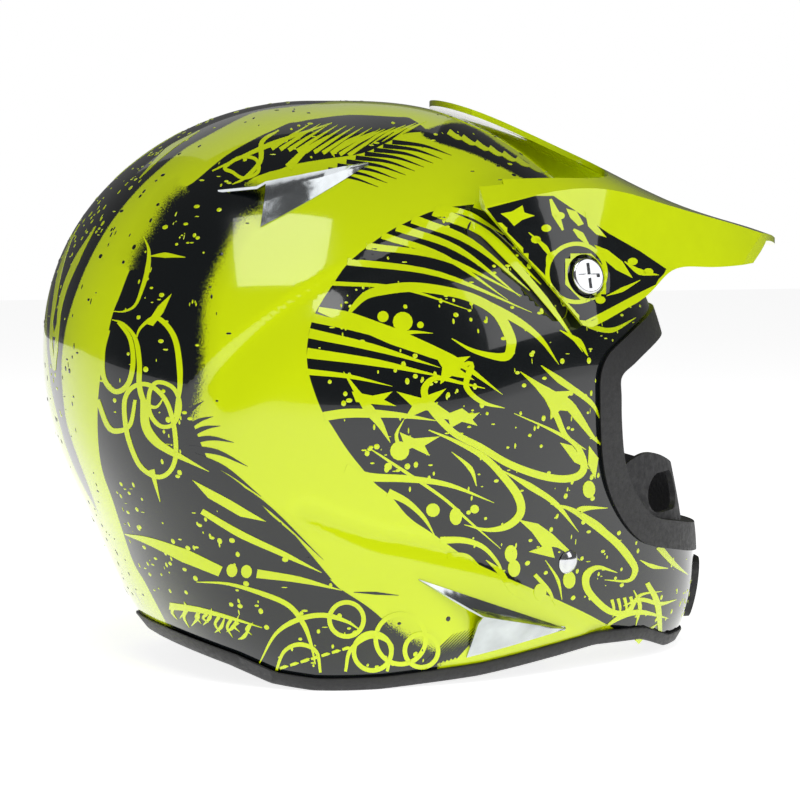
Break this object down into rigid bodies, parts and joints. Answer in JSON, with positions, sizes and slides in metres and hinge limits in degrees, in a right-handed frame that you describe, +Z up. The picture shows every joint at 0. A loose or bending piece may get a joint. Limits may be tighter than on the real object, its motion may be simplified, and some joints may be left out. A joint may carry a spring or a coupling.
{
  "type": "motocross helmet",
  "caption": "Full-face off-road helmet with a long adjustable visor, open eye port, extended chin bar, air scoops, padded lining and a double D-ring chin strap.",
  "frame": {"origin": "on the table under the middle of the helmet's length and width, visor included", "axes": "+X the way the wearer faces, +Y the wearer's left, +Z up"},
  "size_m": [0.3653, 0.236, 0.2667],
  "materials": {
    "shell_paint": "clear-coated neon yellow and black paint on a moulded shell",
    "visor_paint": "gloss neon yellow and black paint on moulded plastic",
    "edge_rubber": "satin black edging rubber",
    "guard_rubber": "satin moulded black rubber",
    "eps_foam": "fine beaded black expanded polystyrene",
    "lining_mesh": "black brushed mesh lining",
    "cheek_fabric": "charcoal brushed nylon",
    "vent_chrome": "bright chrome on moulded plastic",
    "vent_mesh": "black moulded grille",
    "screw_chrome": "polished chrome",
    "washer_rubber": "black rubber",
    "brass_insert": "turned brass",
    "steel_fitting": "zinc plated steel",
    "strap_webbing": "black woven nylon webbing",
    "snap_plastic": "black moulded snaps"
  },
  "bodies": {
    "shell": {"base_trim": "edge_rubber", "brow_pad": "lining_mesh", "brow_vent_mesh_left": "vent_mesh", "brow_vent_mesh_right": "vent_mesh", "cheek_foam_left": "eps_foam", "cheek_foam_right": "eps_foam", "cheek_pad_left": "cheek_fabric", "cheek_pad_right": "cheek_fabric", "cheek_snaps_left": "snap_plastic", "cheek_snaps_right": "snap_plastic", "chin_bar_foam": "eps_foam", "crown_pad": "lining_mesh", "eye_port_trim": "edge_rubber", "impact_liner_left": "eps_foam", "impact_liner_right": "eps_foam", "lower_vent_left": "vent_chrome", "lower_vent_right": "vent_chrome", "mouth_vent_cover": "vent_chrome", "mouth_vent_mesh": "vent_mesh", "nape_pad": "lining_mesh", "neck_roll": "cheek_fabric", "nose_guard": "guard_rubber", "outer_shell": "shell_paint", "rear_vent_left": "vent_chrome", "rear_vent_right": "vent_chrome", "strap_rivet_left": "screw_chrome", "strap_rivet_right": "screw_chrome", "strap_spacer_left": "steel_fitting", "strap_spacer_right": "steel_fitting", "temple_pad_left": "lining_mesh", "temple_pad_right": "lining_mesh", "visor_nut_left": "brass_insert", "visor_nut_right": "brass_insert", "visor_spacer_left": "washer_rubber", "visor_spacer_right": "washer_rubber"},
    "visor": {"visor": "visor_paint"},
    "chin_strap": {"chin_strap_long": "strap_webbing", "chin_strap_short": "strap_webbing", "d_rings": "steel_fitting", "strap_anchor_left": "steel_fitting", "strap_anchor_right": "steel_fitting"},
    "screw_left": {"visor_screw_left": "screw_chrome"},
    "screw_right": {"visor_screw_right": "screw_chrome"}
  },
  "joints": [
    {"name": "visor_tilt", "type": "hinge", "parent": "shell", "child": "visor", "pos_m": [0.04047, 0, 0.185], "axis": [0, 1, 0], "range_deg": [0, 8]},
    {"name": "visor_screw_left_turn", "type": "hinge", "parent": "shell", "child": "screw_left", "pos_m": [0.04047, 0.10275, 0.185], "axis": [0.1971, 0.9547, 0.2227], "continuous": true},
    {"name": "visor_screw_right_turn", "type": "hinge", "parent": "shell", "child": "screw_right", "pos_m": [0.04047, -0.10275, 0.185], "axis": [0.1971, -0.9547, 0.2227], "continuous": true},
    {"name": "chin_strap_swing", "type": "hinge", "parent": "shell", "child": "chin_strap", "pos_m": [0.03747, 0, 0.053], "axis": [0, 1, 0], "range_deg": [-12, 15]}
  ]
}
